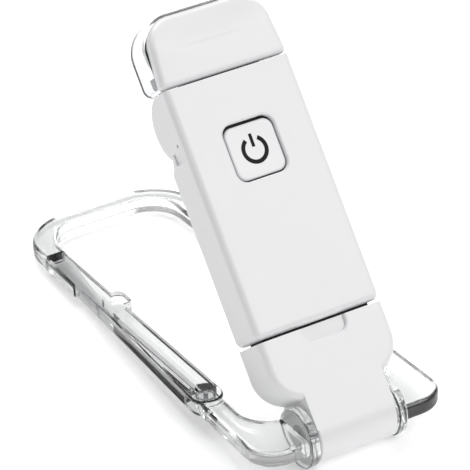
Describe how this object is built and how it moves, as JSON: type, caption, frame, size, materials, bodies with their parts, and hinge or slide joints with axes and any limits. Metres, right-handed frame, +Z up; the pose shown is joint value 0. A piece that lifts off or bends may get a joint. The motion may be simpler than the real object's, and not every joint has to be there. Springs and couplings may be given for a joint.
{
  "type": "clip-on reading lamp",
  "caption": "Slim rechargeable reading lamp with a tilting head and a capped plug, hinged on a clear loop with a sprung side gate.",
  "frame": {"origin": "centre of the bounding box's bottom face, on the surface the loop lies on", "axes": "+X across the lamp along the axle, +Y from the axle towards the loop's far end, +Z up"},
  "size_m": [0.043, 0.1053, 0.0731],
  "materials": {
    "clear": "clear polycarbonate, polished",
    "white": "white ABS, fine satin",
    "white_inner": "white, reflective",
    "grey": "moulded acetal",
    "black": "black, satin",
    "steel": "drawn steel",
    "nickel": "nickel plated",
    "brass": "gold flashed",
    "lamp": "phosphor coated",
    "board": "solder mask",
    "board_white": "white solder mask",
    "cell": "pouch foil",
    "wire": "insulated wire",
    "insulator": "moulded"
  },
  "bodies": {
    "clip": {"clip_frame": "clear", "clip_foot": "clear", "axle_pin": "steel", "gate_pin": "steel"},
    "gate": {"gate": "clear", "gate_spring": "steel"},
    "cap": {"usb_cap": "white", "friction_bushes": "grey"},
    "lamp": {"front_shell": "white", "back_shell": "white", "tact_switch": "grey", "main_board": "board", "charge_led": "lamp", "battery_cell": "cell", "battery_leads": "wire", "usb_plug_shell": "nickel", "plug_collar": "black", "usb_plug_insulator": "insulator", "usb_contacts": "brass", "neck_pin": "steel"},
    "button": {"power_button": "white", "power_symbol": "black", "switch_plunger": "black"},
    "head": {"head_shell": "white", "head_lens": "clear", "hinge_neck": "black", "head_chassis": "grey", "reflector": "white_inner", "led_board": "board_white", "leds": "lamp"}
  },
  "joints": [
    {"name": "clip_fold", "type": "hinge", "parent": "clip", "child": "cap", "pos_m": [0, -0.0466, 0.0061], "axis": [1, 0, 0], "range_deg": [-45, 127]},
    {"name": "cap_pull", "type": "slide", "parent": "cap", "child": "lamp", "axis": [0, 0.6484, 0.7613], "range_m": [0, 0.014]},
    {"name": "head_tilt", "type": "hinge", "parent": "lamp", "child": "head", "pos_m": [0, -0.00662, 0.05612], "axis": [-1, 0, 0], "range_deg": [0, 90]},
    {"name": "button_press", "type": "slide", "parent": "lamp", "child": "button", "axis": [0, 0.7613, -0.6484], "range_m": [0, 0.0004], "stiffness_N_per_m": 400, "springref_m": -0.0001},
    {"name": "gate_open", "type": "hinge", "parent": "clip", "child": "gate", "pos_m": [-0.0181, -0.02512, 0.00517], "axis": [0, -0.0433, -0.9991], "range_deg": [0, 25], "stiffness_Nm_per_rad": 0.02, "springref_deg": -17.19}
  ]
}
